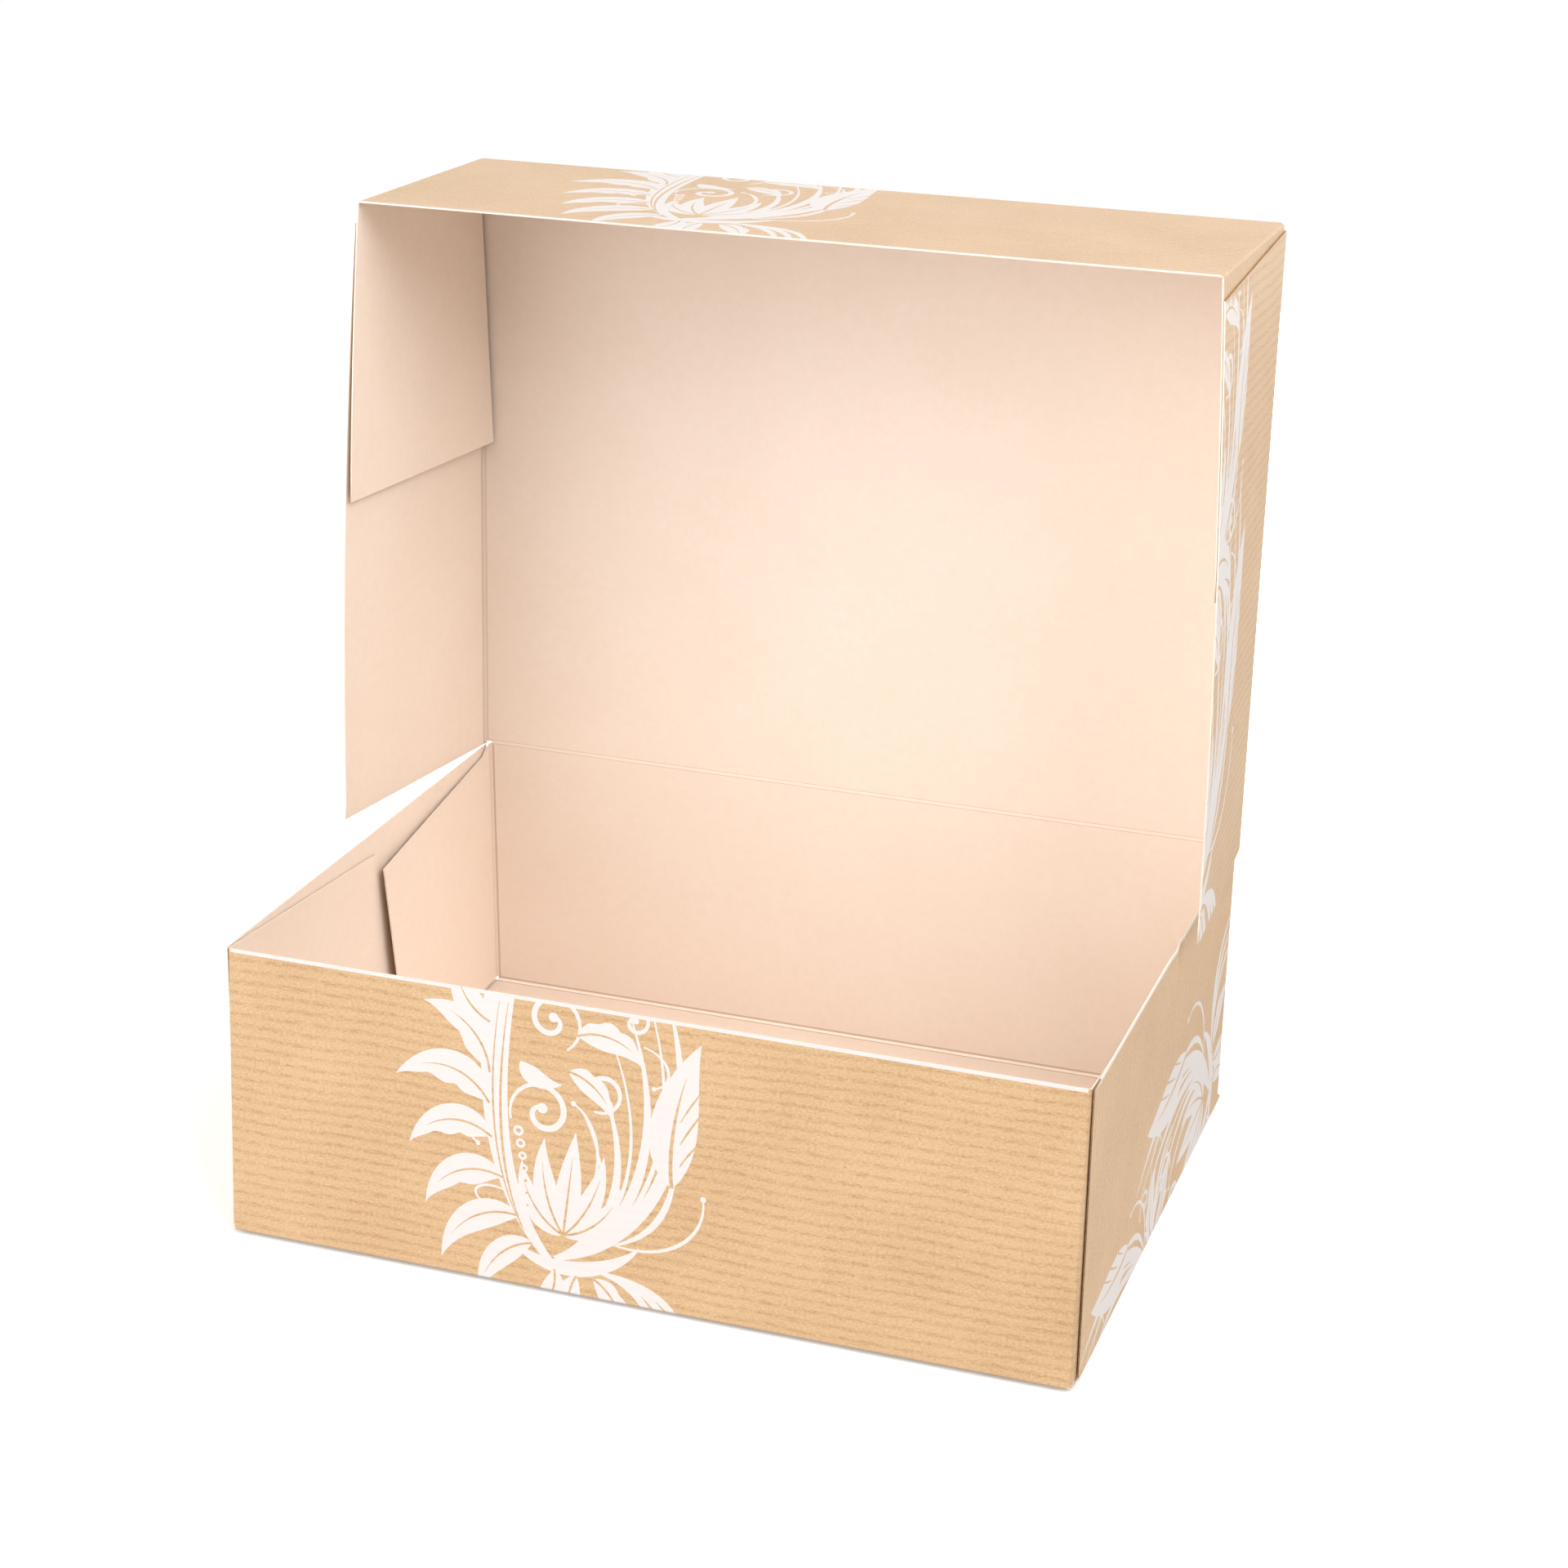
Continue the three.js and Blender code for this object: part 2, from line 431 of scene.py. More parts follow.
# The lid, starting at its crease and running up its panel and out along its front wall
lid_run = Fold([(0, 0), (0, LID_LENGTH), (-LID_HEIGHT, LID_LENGTH)], FOLD_RADIUS)
lid_side_run = Fold([(0, 0), (LID_HALF_WIDTH, 0), (LID_HALF_WIDTH, LID_HEIGHT)], FOLD_RADIUS)
LID_FLAP_FACE = LID_HALF_WIDTH - BOARD - LID_FLAP_GAP
lid_corner = Fold([(0, 0), (LID_FLAP_FACE, 0), (LID_FLAP_FACE, LID_FLAP)], FOLD_RADIUS)
LID_PANEL_HALF_A = lid_side_run.bends()[0][0]
LID_FRONT_B = lid_run.bends()[0][0]
LID_FLAP_LOW = LID_FRONT_B + LID_FLAP_INSET + FOLD_LENGTH
LID_FLAP_START = sum(lid_corner.bends()[0])


def dent(b, height):
    """How far the buckles push the right wall out, with b along its edge."""
    drop = TRAY_HEIGHT - height
    return sum(
        out * math.exp(-((b - place) / width) ** 2 - ((drop - low) / tall) ** 2)
        for out, place, width, low, tall in BUCKLES
    )


def tray_place(a, b):
    """Where a point of the flat tray lies once it is folded."""
    side = math.copysign(1, a)
    a = abs(a)
    if -FLOOR_HALF_B <= b <= FLOOR_BACK_B:
        point, _ = side_run.at(a)
        buckle = dent(b, point.y) if side > 0 else 0.0
        return Vector((side * (point.x + buckle), b, point.y))
    run, corner = (front_run, front_corner) if b < 0 else (back_run, back_corner)
    wall, left = run.at(abs(b))
    inward = left if b > 0 else -left
    point, _ = corner.at(a)
    low = (back_run.length - b) / (back_run.length - FLOOR_BACK_B)
    spring = BACK_FLAP_SPRING * max(0.0, a - FLAP_FACE) / BACK_FLAP * low if b > 0 else 0.0
    x = side * (point.x - spring)
    return Vector((x, wall.x + inward.x * point.y, wall.y + inward.y * point.y))


def lid_spread(side, out, along):
    """How far a lid side wall has spread outward, at a distance from the panel and the crease."""
    splay = LEFT_SPLAY if side < 0 else RIGHT_SPLAY
    return splay * out / LID_HEIGHT * (1 - (along / LID_LENGTH) ** 2)


def lean_back(x, y, z):
    """A point of the upright lid, turned back by its lean and set on the crease."""
    return Vector((
        x,
        HINGE_Y + y * math.cos(LID_LEAN) + z * math.sin(LID_LEAN),
        HINGE_Z - y * math.sin(LID_LEAN) + z * math.cos(LID_LEAN),
    ))


def lid_place(a, b):
    """Where a point of the flat lid lies once it is folded, with b counted from the crease."""
    side = math.copysign(1, a)
    a = abs(a)
    if b <= LID_FRONT_B:
        point, _ = lid_side_run.at(a)
        spread = lid_spread(side, point.y, b) if a > LID_PANEL_HALF_A else 0.0
        return lean_back(side * (point.x + spread), -point.y, b)
    wall, left = lid_run.at(b)
    point, _ = lid_corner.at(a)
    y = wall.x + left.x * point.y
    z = wall.y + left.y * point.y
    spread = lid_spread(side, -y, z) if point.y > 0 else 0.0
    return lean_back(side * (point.x + spread), y, z)


def lid_flap_place(a, b):
    """A lid flap's point. The left flap stands off its wall, most at its lower end."""
    down = lid_corner.at(abs(a))[0].y / LID_FLAP
    out = max(0.0, (b - LID_FRONT_B) / LID_HEIGHT)
    spring = down * (LID_FLAP_OFF_PANEL_SIDE * (1 - out) + LID_FLAP_OFF_OPEN_SIDE * out)
    return lid_place(a, b) + Vector((spring if a < 0 else 0, 0, 0))


def rectangle(a0, a1, b0, b1):
    return [(a0, b0), (a1, b0), (a1, b1), (a0, b1)]


def both_sides(outline):
    return [outline, [(-a, b) for a, b in reversed(outline)]]


# Ornament: scrolls, leaves and beads of the print, drawn in millimetres


def curve(p0, p1, p2, p3, steps=18):
    """Points along a cubic curve."""
    points = [Vector(p) for p in (p0, p1, p2, p3)]
    path = []
    for i in range(steps + 1):
        t = i / steps
        weights = ((1 - t) ** 3, 3 * t * (1 - t) ** 2, 3 * t * t * (1 - t), t ** 3)
        path.append(sum((p * w for p, w in zip(points, weights)), Vector((0, 0))))
    return path


def spiral(centre, radius, turns, start):
    """A scroll that winds in to its centre. A negative number of turns winds clockwise."""
    inner = 0.12
    steps_per_turn = 26
    steps = max(8, int(abs(turns) * steps_per_turn))
    path = []
    for i in range(steps + 1):
        share = i / steps
        reach = radius * (1 - (1 - inner) * share)
        angle = math.radians(start) + 2 * math.pi * turns * share
        path.append(Vector(centre) + Vector((math.cos(angle), math.sin(angle))) * reach)
    return path


def sideways(path, i):
    """The direction to the left of a path at one of its points."""
    along = (path[min(i + 1, len(path) - 1)] - path[max(i - 1, 0)]).normalized()
    return Vector((-along.y, along.x))


def stroke(path, start_width, middle_width, end_width):
    """The outline of a brush stroke along a path, with its width at three places."""
    left = []
    right = []
    for i, point in enumerate(path):
        t = i / (len(path) - 1)
        across = sideways(path, i)
        ends = start_width * (1 - t) + end_width * t
        width = ends + (middle_width - (start_width + end_width) / 2) * math.sin(math.pi * t)
        left.append(point + across * width / 2)
        right.append(point - across * width / 2)
    return left + right[::-1]


def leaf_middle(base, tip, bend):
    """The line from a leaf's base to its tip, bent to its left by a share of its length."""
    base, tip = Vector(base), Vector(tip)
    along = tip - base
    left = Vector((-along.y, along.x)) * bend
    return curve(base, base + along * 0.3 + left, base + along * 0.75 + left * 0.8, tip, 22)


def leaf(base, tip, width, bend=0.0, lobes=0):
    """A leaf from base to tip, with any lobes on its left side."""
    fullness = 0.77
    narrowing = 0.35
    middle = leaf_middle(base, tip, bend)
    outline = []
    back = []
    for i, point in enumerate(middle):
        t = i / (len(middle) - 1)
        across = sideways(middle, i)
        swell = math.sin(math.pi * t ** fullness) * (1 - narrowing * t)
        scallop = 0.72 + 0.28 * abs(math.sin(math.pi * lobes * t)) if lobes else 1.0
        outline.append(point + across * width / 2 * swell * scallop)
        back.append(point - across * width / 2 * swell)
    return outline + back[::-1][1:-1]


def vein(base, tip, width, bend=0.0):
    """The thin line of print down the middle of a leaf, which stops short of its tip."""
    middle = leaf_middle(base, tip, bend)
    reach = 0.78
    return stroke(middle[: int(len(middle) * reach)], width, width * 0.9, 0.08)


def disc(centre, radius):
    sides = 18
    angles = [2 * math.pi * i / sides for i in range(sides)]
    return [Vector(centre) + Vector((math.cos(turn), math.sin(turn))) * radius for turn in angles]


def scroll_spray():
    """One upright spray: what is left white, and the lines of print inside it."""
    white = []
    lines = []

    def add_leaf(base, tip, width, bend=0.0, lobes=0, vein_width=0.8):
        white.append(leaf(base, tip, width, bend, lobes=lobes))
        if vein_width:
            lines.append(vein(base, tip, vein_width, bend))

    # The main stem, heavy at the top and swept round into the knot at its foot
    white.append(stroke(curve((-16, 101), (-21, 60), (-19, 24), (3, 1), 26), 11, 8.0, 2.4))
    white.append(stroke(curve((-38, 152), (-24, 143), (-14, 124), (-16, 100), 20), 0.8, 6.5, 11))
    add_leaf((-18, 118), (-2, 137), 11, -0.25, lobes=2)
    add_leaf((-22, 124), (-44, 128), 11, -0.30)
    # Hooked leaves down the outside of the stem
    add_leaf((-20, 84), (-32, 103), 12, 0.22)
    add_leaf((-20, 66), (-44, 88), 14, -0.28, lobes=2)
    add_leaf((-20, 55), (-54, 60), 15, -0.36, lobes=3)
    add_leaf((-19, 43), (-49, 36), 13.5, -0.34, lobes=3)
    add_leaf((-15, 29), (-43, 15), 13.5, -0.32, lobes=2)
    add_leaf((-9, 16), (-37, -4), 12.5, -0.30)
    add_leaf((-4, 7), (-23, -15), 11, -0.25)
    # Long arcs that rise from the knot on the inside
    for reach, top, width in (
        (56, 102, 4.6), (50, 99, 1.7), (44, 92, 3.6), (38, 82, 1.4), (33, 70, 3.0), (27, 58, 1.2),
    ):
        path = curve((4, 3), (reach * 0.62, 10), (reach + 2, top * 0.50), (reach - 14, top), 26)
        white.append(stroke(path, 1.6, width, 0.5))
    # Bare lines down the stem
    for share, width in ((0.0, 1.0), (3.2, 0.7)):
        path = curve((-13.5 - share, 92), (-18 - share, 60), (-17 - share * 0.6, 30), (-7, 11), 26)
        lines.append(stroke(path, 0.2, width, 0.2))
    # The large leaf on the far side
    add_leaf((45, 36), (54, 88), 19, 0.10, vein_width=1.3)
    for low, high, width in ((44, 58, 0.7), (52, 68, 0.8), (60, 76, 0.7)):
        path = curve((47.5, low), (50, low + 5), (54, high - 5), (56, high - 2), 12)
        lines.append(stroke(path, 0.3, width, 0.1))
    white.append(stroke(curve((26, 12), (40, 18), (45, 28), (46, 44)), 0.8, 2.4, 0.9))
    # Scrolls inside the arcs
    for centre, radius, turns, start, width in (
        ((2, 88), 11, 1.35, -60, 2.0),
        ((-1, 55), 12, -1.3, 200, 2.2),
        ((20, 66), 8, 1.2, 250, 1.8),
        ((31, 92), 6, -1.1, 120, 1.4),
    ):
        path = spiral(centre, radius, turns, start)
        white.append(stroke(path, 0.8, width, 1.2))
        white.append(disc(path[-1], width * 0.85))
    # A half-open flower over the knot
    for tip, width, bend in (
        ((-8, 37), 9.5, 0.22), ((0, 46), 10.5, 0.14), ((11, 50), 10.5, 0.0),
        ((21, 43), 9.5, -0.14), ((27, 33), 8.0, -0.22),
    ):
        add_leaf((7, 12), tip, width, bend)
    # Fine tendrils
    for points, width in (
        (((-14, 46), (-26, 50), (-30, 44), (-24, 40)), 1.1),
        (((-12, 24), (-24, 28), (-28, 22), (-22, 19)), 1.0),
        (((24, 12), (44, 8), (58, 20), (56, 34)), 1.3),
        (((34, 84), (44, 82), (46, 72), (38, 70)), 1.0),
        (((16, 30), (22, 40), (18, 56), (10, 60)), 1.2),
    ):
        path = curve(*points)
        white.append(stroke(path, 0.5, width, 0.6))
        white.append(disc(path[-1], width * 0.8))
    # Small lobed leaves between the scrolls
    add_leaf((11, 84), (35, 76), 12, 0.28, lobes=4)
    add_leaf((8, 71), (24, 56), 9.5, 0.22, lobes=3)
    add_leaf((-9, 72), (6, 66), 7.5, -0.25, vein_width=0)
    # Beads down the inside of the stem, smaller towards the end
    for i in range(7):
        size = 1.9 - 0.19 * i
        centre = (-9.5 + 0.9 * i - 0.05 * i * i, 47 - 4.4 * i)
        white.append(disc(centre, size))
        lines.append(disc(centre, size * 0.45))
    # Leaves and tendrils under the knot
    white.append(stroke(curve((-12, 7), (2, -5), (24, 0), (34, 12)), 0.8, 5.5, 0.6))
    add_leaf((4, -1), (-7, -21), 10, 0.25)
    add_leaf((12, -2), (12, -26), 9.5, -0.18)
    add_leaf((18, -2), (29, -24), 10, 0.22, lobes=3)
    for drop in (0, 5, 10):
        path = curve((18, 1), (32 + drop, 0), (41 + drop, -9), (43 + drop, -28))
        white.append(stroke(path, 0.8, 2.6, 0.8))
    return white, lines


def placed(shapes, centre, turn=0.0, size=1.0):
    """Outlines turned, sized and moved on a panel."""
    angle = math.radians(turn)
    moved = []
    for outline in shapes:
        points = []
        for point in outline:
            x, y = point[0] * size, point[1] * size
            points.append((
                centre[0] + x * math.cos(angle) - y * math.sin(angle),
                centre[1] + x * math.sin(angle) + y * math.cos(angle),
            ))
        moved.append(points)
    return moved


def sprays(placings):
    """The white shapes and the lines in them, for several sprays on one sheet.

    Each outline comes with the test of where on the sheet it may show.
    """
    white = []
    lines = []
    for to_sheet, shows, options in placings:
        shapes, marks = scroll_spray()
        for kind, outlines in ((white, shapes), (lines, marks)):
            for outline in placed(outlines, **options):
                kind.append(([to_sheet(point) for point in outline], shows))
    return white, lines


def counter_clockwise(outline):
    points = [Vector(point) for point in outline]
    area = sum(points[i - 1].cross(points[i]) for i in range(len(points)))
    return points if area > 0 else points[::-1]


def anywhere(a, b):
    return True


def margins(front_strip, side_strip):
    """The strips of bare board along a sheet's front edge and its two side edges."""
    return [(strip, anywhere) for strip in [front_strip, *both_sides(side_strip)]]


def fold_places(folds, axis):
    """Every place along an axis where folds cut the sheet, the same on both sides across it."""
    places = {place for bent, marks, _ in folds if bent == axis for place in marks}
    return places | {-place for place in places} if axis == ACROSS else places


def crease_lines(place, toward):
    """The lid's crease at a sheet's end, running toward the sheet. Its painted highlight, wear and
    bump are weaker than a fold's.
    """
    return {
        place: CREASE_HIGHLIGHT_AND_WEAR,
        place + toward * CREASE_BEAD: CREASE_HIGHLIGHT_AND_WEAR,
        place + toward * CREASE_EDGE: 0.0,
    }


def flat_cut(panels, white, lines, folds):
    """The flat sheet cut into triangles along its panels, its print and its folds.

    Gives the points, the triangles, and the outlines that each triangle lies in.
    """
    corners = []
    faces = []
    for outline in [*panels, *(outline for outline, _ in white + lines)]:
        faces.append(list(range(len(corners), len(corners) + len(outline))))
        corners += counter_clockwise(outline)
    panel_points = [point for panel in panels for point in panel]
    low_a, high_a = (pick(a for a, b in panel_points) for pick in (min, max))
    low_b, high_b = (pick(b for a, b in panel_points) for pick in (min, max))
    fold_a = fold_places(folds, ACROSS)
    fold_b = fold_places(folds, ALONG)
    cuts = [
        *[((a, low_b), (a, high_b)) for a in sorted(fold_a) + even_places(low_a, high_a, fold_a)],
        *[((low_a, b), (high_a, b)) for b in sorted(fold_b) + even_places(low_b, high_b, fold_b)],
    ]
    edges = []
    for ends in cuts:
        edges.append((len(corners), len(corners) + 1))
        corners += [Vector(end) for end in ends]
    points, _, triangles, _, _, sources = delaunay_2d_cdt(corners, edges, faces, 0, 1e-5)
    return points, triangles, sources


def thicken(piece):
    board = piece.modifiers.new("board", "SOLIDIFY")
    board.thickness = BOARD * MM
    board.offset = -1
    board.use_even_offset = False
    board.material_offset = len(OUTSIDES)
    board.material_offset_rim = len(OUTSIDES + INSIDES)


def sheet_mesh(name, panels, white, lines, folds, to_place, shift_b=0.0, shaded=None):
    """One flat-cut sheet with its print laid in, folded and given the board's thickness.

    The edges where shaded answers True for both their ends are painted dark, as the shade of the gap
    beside them.
    """
    points, triangles, sources = flat_cut(panels, white, lines, folds)
    first_white = len(panels)
    first_line = first_white + len(white)
    bm = bmesh.new()
    uv = bm.loops.layers.uv.new("sheet")
    fold = bm.verts.layers.float.new("fold")
    verts = {}

    def vert(i):
        if i not in verts:
            a, b = points[i]
            verts[i] = bm.verts.new(to_place(a, b) * MM)
            verts[i][fold] = fold_strength(a, b, folds)
        return verts[i]

    def shows(triangle, source):
        # A triangle beside the gap gets a cut edge painted dark as the gap's shade
        if shaded and sum(shaded(*points[i]) for i in triangle) > 1:
            return PAINTED_GAP_SHADE
        if any(i >= first_line for i in source):
            return PRINTED
        middle = sum((points[i] for i in triangle), Vector((0, 0))) / 3
        bare = any(white[i - first_white][1](*middle) for i in source if i >= first_white)
        return BARE if bare else PRINTED

    for triangle, source in zip(triangles, sources):
        if not any(i < first_white for i in source):
            continue
        face = bm.faces.new([vert(i) for i in reversed(triangle)])
        face.material_index = shows(triangle, source)
        face.smooth = True
        for loop, i in zip(face.loops, reversed(triangle)):
            a, b = points[i]
            loop[uv].uv = (a * UV_SCALE, (b + shift_b) * UV_SCALE)
    bmesh.ops.dissolve_degenerate(bm, dist=0.02 * MM, edges=bm.edges)
    for edge in bm.edges:
        edge.smooth = not edge.is_boundary
    mesh = bpy.data.meshes.new(name)
    bm.to_mesh(mesh)
    bm.free()
    for finish in OUTSIDES + INSIDES + EDGES:
        mesh.materials.append(finish)
    piece = bpy.data.objects.new(name, mesh)
    bpy.context.scene.collection.objects.link(piece)
    thicken(piece)
    return piece


def even_places(low, high, folds):
    """Evenly spread grid places that keep clear of the fold lines."""
    count = int((high - low) / GRID)
    places = [low + (high - low) * i / count for i in range(1, count)]
    return [place for place in places if all(abs(place - fold) > GRID / 4 for fold in folds)]


def fold_strength(a, b, folds):
    """How strongly folds mark the board at a point, for wear, bumps, painted highlights and painted
    shade.

    A fold is given by its axis, its marked places along that axis, and how far it runs.
    """
    strongest = 0.0
    for axis, marks, (low, high) in folds:
        here, beside = (abs(a), b) if axis == ACROSS else (b, abs(a))
        if low - 0.01 <= beside <= high + 0.01:
            found = [mark for place, mark in marks.items() if abs(place - here) < 0.01]
            strongest = max([strongest, *found])
    return strongest


def tray_sheet():
    top_b = -front_run.length
    wall_a = side_run.length
    low_b = -(FLOOR_HALF_B + FLAP_RISE + FOLD_LENGTH)
    fold_a = front_corner.bends()[0][0]
    flap_a = front_corner.length
    back_top = back_run.length
    back_low = FLOOR_BACK_B + FLAP_RISE + FOLD_LENGTH
    back_fold_a = back_corner.bends()[0][0]
    back_flap_a = back_corner.length
    set_back = HALF_DEPTH - SIDE_SETBACK
    web = FLOOR_HALF_B - FRONT_WEB_CUT
    panels = [
        rectangle(-FLOOR_HALF_A, FLOOR_HALF_A, -FLOOR_HALF_B, FLOOR_BACK_B),
        rectangle(-fold_a, fold_a, top_b, -FLOOR_HALF_B),
        rectangle(-back_fold_a, back_fold_a, FLOOR_BACK_B, back_top),
        *both_sides([
            (FLOOR_HALF_A, -web),
            (FLOOR_HALF_A + FRONT_WEB_FOOT, -web),
            (FLOOR_HALF_A + FRONT_WEB_TOP, -set_back),
            (wall_a, -set_back),
            (wall_a, set_back),
            (FLOOR_HALF_A + BACK_WEB_TOP, set_back),
            (FLOOR_HALF_A + BACK_WEB_FOOT, FLOOR_BACK_B - BACK_WEB_CUT),
            (FLOOR_HALF_A, FLOOR_BACK_B),
        ]),
        *both_sides([
            (fold_a, low_b),
            (fold_a, top_b),
            (flap_a, top_b + FRONT_FLAP_DROP),
            (flap_a, low_b - FRONT_FLAP_TAPER),
        ]),
        *both_sides([
            (back_fold_a, back_low),
            (back_flap_a - BACK_FLAP_CUT, back_low + BACK_FLAP_TAPER),
            (back_flap_a, back_top - BACK_FLAP_DROP - BACK_FLAP_SLOPE),
            *[(back_fold_a + out, back_top - drop) for out, drop in BACK_FLAP_ROOT],
        ]),
    ]
    folds = [
        (ACROSS, fold_lines(side_run.bends()), (-FLOOR_HALF_B, FLOOR_BACK_B)),
        (ACROSS, fold_lines(front_corner.bends()), (top_b, low_b)),
        (ACROSS, fold_lines(back_corner.bends()), (back_low, back_top)),
        (ALONG, fold_lines(front_run.bends(), -1), (0, FLOOR_HALF_A)),
        (ALONG, fold_lines(back_run.bends()), (0, FLOOR_HALF_A)),
        (ALONG, crease_lines(back_top, -1), (0, back_fold_a)),
        (ACROSS, {wall_a - drop: 0.0 for drop in BUCKLE_DROPS}, (0, 0)),
        (ALONG, {place: 0.0 for place in BUCKLE_PLACES}, (0, 0)),
    ]

    def front(point):
        return point[0], -FLOOR_HALF_B - point[1]

    def right(point):
        return FLOOR_HALF_A + point[1], point[0]

    def on_front(a, b):
        return b < -FLOOR_HALF_B

    def on_right(a, b):
        return a > FLOOR_HALF_A and abs(b) < HALF_DEPTH

    # Painted shade: where a side wall's cut edge is painted dark beside the flap's gap
    def in_gap_shade(a, b):
        return a > FLOOR_HALF_A + 2 and abs(abs(b) - set_back) < 0.01

    white, lines = sprays([
        (front, on_front, {"centre": (-33, 10)}),
        (right, on_right, {"centre": (92, 12), "turn": 104, "size": 1.15}),
        (right, on_right, {"centre": (0, -24), "turn": 97}),
    ])
    white += margins(
        rectangle(-fold_a, fold_a, top_b, top_b + MARGIN),
        rectangle(wall_a - MARGIN, wall_a, -set_back, set_back),
    )
    piece = sheet_mesh(
        "tray_sheet", panels, white, lines, folds, tray_place, shaded=in_gap_shade
    )
    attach(piece, "tray")
    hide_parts("base_tray")
    return piece


def lid_sheet():
    top_b = lid_run.length
    fold_a = lid_corner.bends()[0][0]
    wall_a = lid_side_run.length
    panel_fold = LID_FRONT_B
    panels = [
        rectangle(-LID_PANEL_HALF_A, LID_PANEL_HALF_A, 0, panel_fold),
        rectangle(-fold_a, fold_a, panel_fold, top_b),
        *both_sides([
            (LID_PANEL_HALF_A, -LID_CREASE_LAP),
            (wall_a, LID_SIDE_RISE),
            (wall_a, LID_LENGTH - LID_OPEN_EDGE_RECESS),
            (LID_PANEL_HALF_A, LID_LENGTH - LID_CORNER_RECESS),
        ]),
        *both_sides(rectangle(fold_a, LID_FLAP_START, LID_FLAP_LOW, top_b)),
    ]
    folds = [
        (ACROSS, fold_lines(lid_side_run.bends()), (-LID_CREASE_LAP, panel_fold)),
        (ACROSS, fold_lines(lid_corner.bends()), (LID_FLAP_LOW, top_b)),
        (ALONG, fold_lines(lid_run.bends()), (0, LID_PANEL_HALF_A)),
        (ALONG, crease_lines(0.0, 1), (0, LID_PANEL_HALF_A)),
    ]

    def front(point):
        return point[0], top_b - point[1]

    def right(point):
        return wall_a - point[0], point[1]

    def on_front(a, b):
        return abs(a) < LID_PANEL_HALF_A

    def on_right(a, b):
        return a > LID_PANEL_HALF_A and b < panel_fold

    # Painted shade: where a side wall's open edge is painted dark beside the flap's gap
    def in_gap_shade(a, b):
        open_edge = LID_LENGTH - LID_OPEN_EDGE_RECESS
        return abs(a) > LID_PANEL_HALF_A + 2 and open_edge - 1 < b < panel_fold

    white, lines = sprays([
        (front, on_front, {"centre": (-42, 15), "turn": 5}),
        (right, on_right, {"centre": (-25, 16), "turn": -2, "size": 1.4}),
        (right, on_right, {"centre": (-20, 130), "turn": -6, "size": 1.05}),
    ])
    white += margins(
        rectangle(-fold_a, fold_a, top_b - MARGIN, top_b),
        rectangle(wall_a - LID_SIDE_MARGIN, wall_a, LID_SIDE_RISE, LID_LENGTH),
    )
    piece = sheet_mesh(
        "lid_sheet", panels, white, lines, folds, lid_place, back_run.length, in_gap_shade
    )
    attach(piece, "lid")
    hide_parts("lid")
    return piece


def lid_flap(name, side):
    """One of the lid's flaps, folded in along its side wall."""
    outline = rectangle(LID_FLAP_START, lid_corner.length, LID_FLAP_LOW, lid_run.length)
    if side < 0:
        outline = [(-a, b) for a, b in reversed(outline)]
    folds = [(ACROSS, {abs(outline[0][0]): 0.0}, (0, 0))]
    piece = sheet_mesh(name, [outline], [], [], folds, lid_flap_place, back_run.length)
    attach(piece, "lid")
    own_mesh(piece)
    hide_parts("lid")
    return piece


def camera():
    """The camera, at the place, angle and lens that the photograph's corners give."""
    place = Vector((345.0, -993.3, 544.8)) * MM
    yaw, pitch, roll = (math.radians(angle) for angle in (18.60, 20.76, 1.13))
    lens_px = 3969.2
    image_px = 1920
    forward = Vector((
        -math.sin(yaw) * math.cos(pitch),
        math.cos(yaw) * math.cos(pitch),
        -math.sin(pitch),
    ))
    level = Vector((math.cos(yaw), math.sin(yaw), 0))
    up = level.cross(forward)
    right = level * math.cos(roll) + up * math.sin(roll)
    up = up * math.cos(roll) - level * math.sin(roll)
    data = bpy.data.cameras.new("camera")
    data.sensor_width = 36
    data.lens = data.sensor_width * lens_px / image_px
    data.clip_start = 0.01
    view = bpy.data.objects.new("camera", data)
    view.matrix_world = Matrix.Translation(place) @ Matrix((right, up, -forward)).transposed().to_4x4()
    bpy.context.scene.collection.objects.link(view)
    bpy.context.scene.camera = view


LAMP_AIM = (0, 0, 0.17)
LAMP_SIZE = 1.8

# Each lamp's place in metres and its power in watts
LAMPS = (
    ("front_left", (-1.1, -1.5, 0.6), 19.9),
    ("low_front", (-0.6, -2.1, 0.35), 8.2),
    ("left", (-2.2, -0.9, 0.8), 21.8),
    ("over_camera", (0.7, -1.9, 1.6), 8.8),
    ("high_right", (1.6, -0.9, 1.7), 41),
    ("behind_right", (1.7, 1.2, 1.0), 23.4),
    ("high_behind", (0.0, 1.6, 1.8), 2.6),
    ("top_left", (-1.3, -1.3, 1.9), 10.1),
    ("overhead", (0, -0.3, 2.3), 12.8),
)


def lamp(name, place, watts):
    """A broad, round lamp that is turned to the middle of the box."""
    data = bpy.data.lights.new(name, "AREA")
    data.shape = "DISK"
    data.size = LAMP_SIZE
    data.energy = watts
    made = bpy.data.objects.new(name, data)
    aim = Vector(LAMP_AIM) - Vector(place)
    made.matrix_world = Matrix.Translation(place) @ aim.to_track_quat("-Z", "Y").to_matrix().to_4x4()
    bpy.context.scene.collection.objects.link(made)


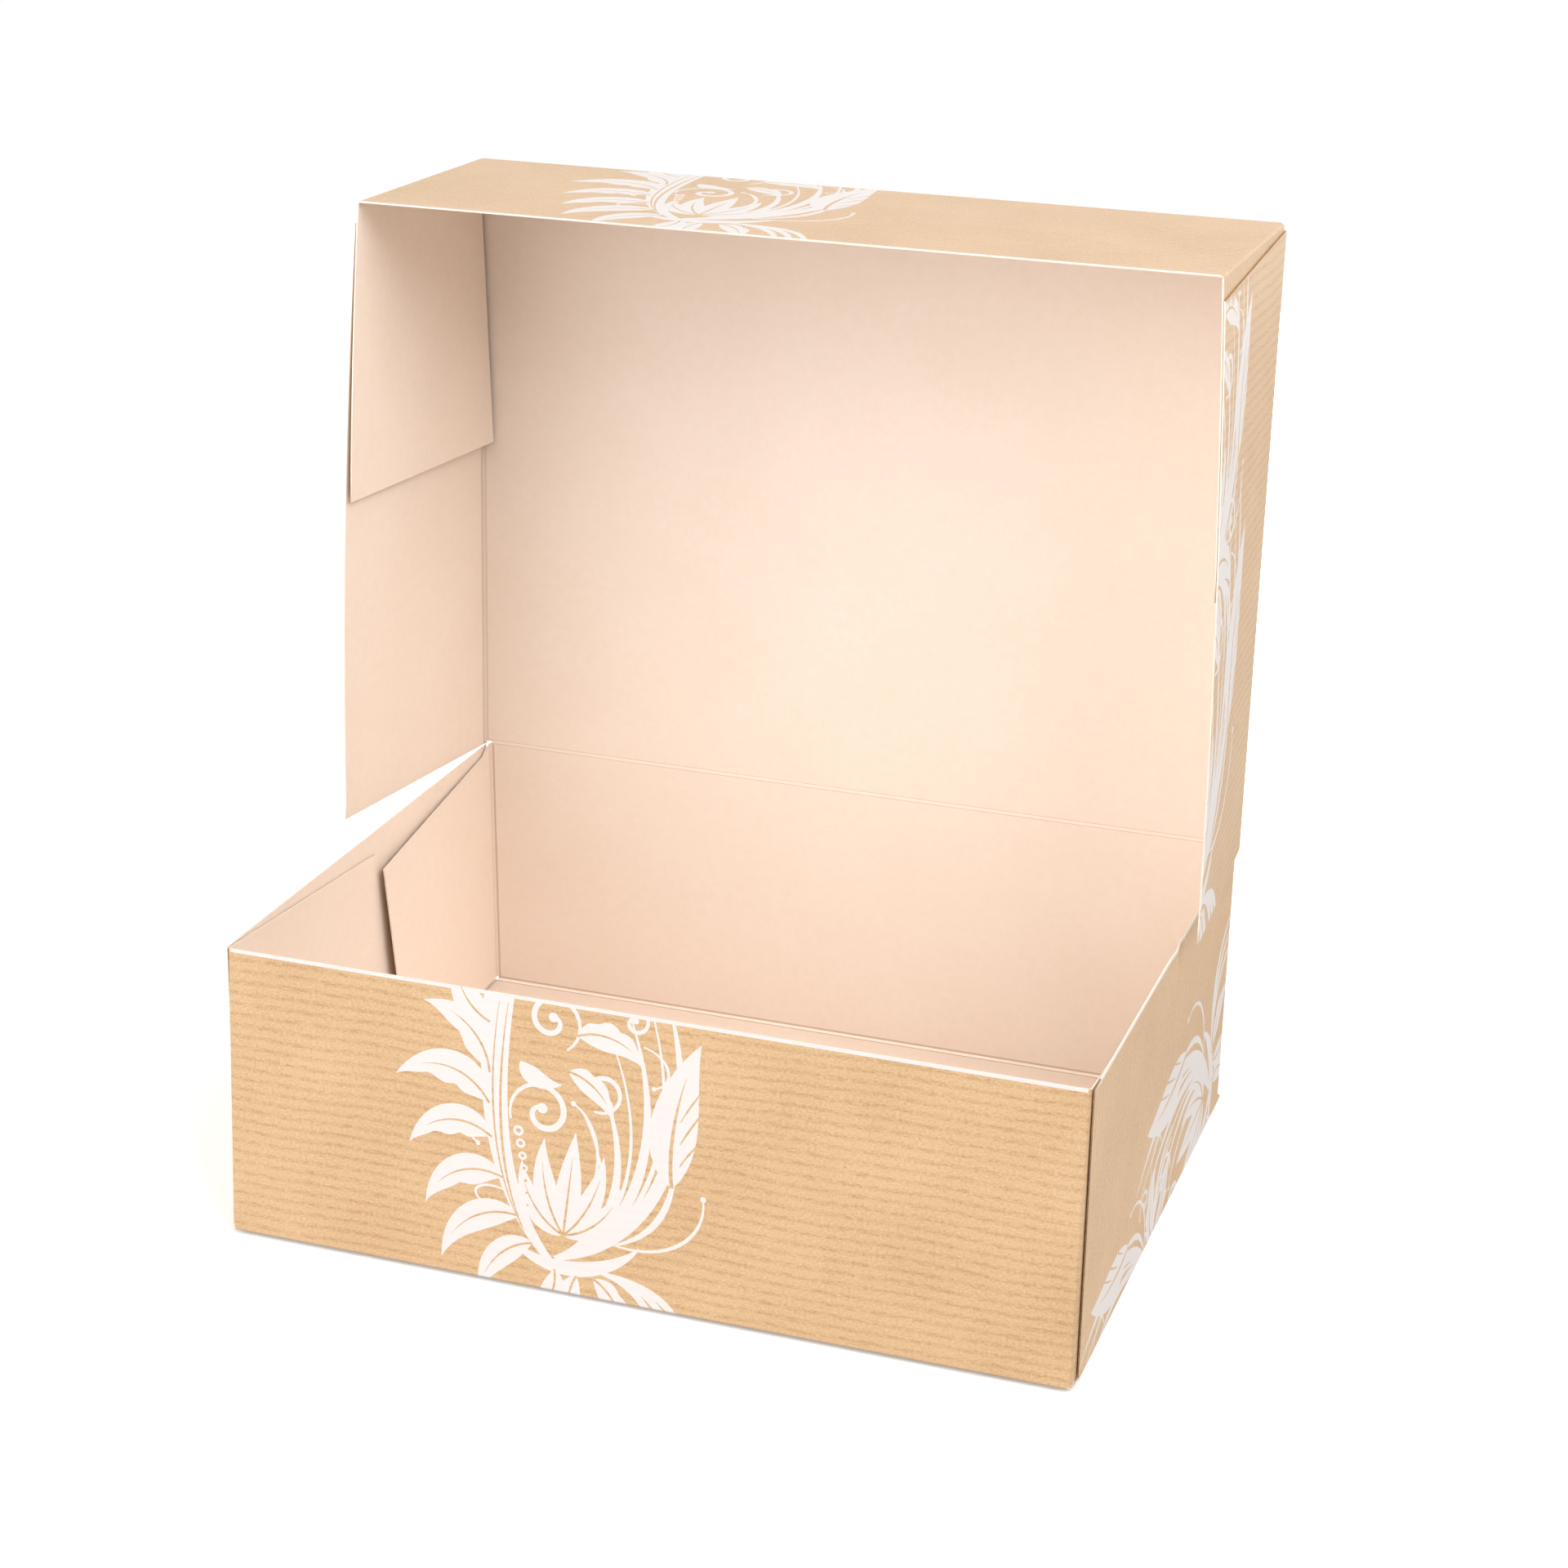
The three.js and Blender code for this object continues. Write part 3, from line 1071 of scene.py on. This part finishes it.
ROOM_SEEN = (1, 1, 1, 1)
ROOM_TINT = (1.0, 0.68, 0.47, 1)
ROOM_LEVEL = 0.065


def room():
    """White where it is seen or mirrored, and dim and warm where it lights the box."""
    world = bpy.data.worlds.new("studio")
    world.use_nodes = True
    bpy.context.scene.world = world
    tree = world.node_tree
    start = Shader(tree, None)
    straight = start.node("ShaderNodeLightPath")
    glossy = start.node("ShaderNodeLightPath", output=3)
    seen = straight.maths("MAXIMUM", straight, glossy)
    background = tree.nodes["Background"]
    level = seen * (1 - ROOM_LEVEL) + ROOM_LEVEL
    tree.links.new(seen.mix(ROOM_TINT, ROOM_SEEN).socket, background.inputs["Color"])
    tree.links.new(level.socket, background.inputs["Strength"])


GROUND_HALF_SIZE = 1.5
GROUND_DROP = 1.5


def pale_floor(start):
    """Pale where the camera sees it, glowing more with distance, and darker where it lights."""
    seen = start.node("ShaderNodeLightPath")
    place = start.node("ShaderNodeTexCoord", output=3)
    away = start.node("ShaderNodeVectorMath", {"operation": "LENGTH"}, {0: place}, output=1)
    glow = seen * (away.clamped(0.2, 0.55) * 0.8 + 0.2)
    return {
        "Base Color": seen.mix((0.55, 0.55, 0.55, 1), (0.95, 0.95, 0.95, 1)),
        "Emission Color": glow.mix((0, 0, 0, 1), (1, 1, 1, 1)),
        "Emission Strength": 1.0,
        "Roughness": 0.9,
    }


def floor():
    bm = bmesh.new()
    bmesh.ops.create_grid(bm, x_segments=1, y_segments=1, size=GROUND_HALF_SIZE)
    mesh = bpy.data.meshes.new("floor")
    bm.to_mesh(mesh)
    bm.free()
    mesh.transform(Matrix.Translation((0, 0, -GROUND_DROP * MM)))
    mesh.materials.append(material("pale_floor", pale_floor))
    ground = bpy.data.objects.new("floor", mesh)
    bpy.context.scene.collection.objects.link(ground)


camera()
tray_sheet()
lid_sheet()
lid_flap("lid_flap_left", -1)
lid_flap("lid_flap_right", 1)
for lamp_name, lamp_place, lamp_watts in LAMPS:
    lamp(lamp_name, lamp_place, lamp_watts)
room()
floor()
bpy.context.scene.view_settings.view_transform = "Standard"
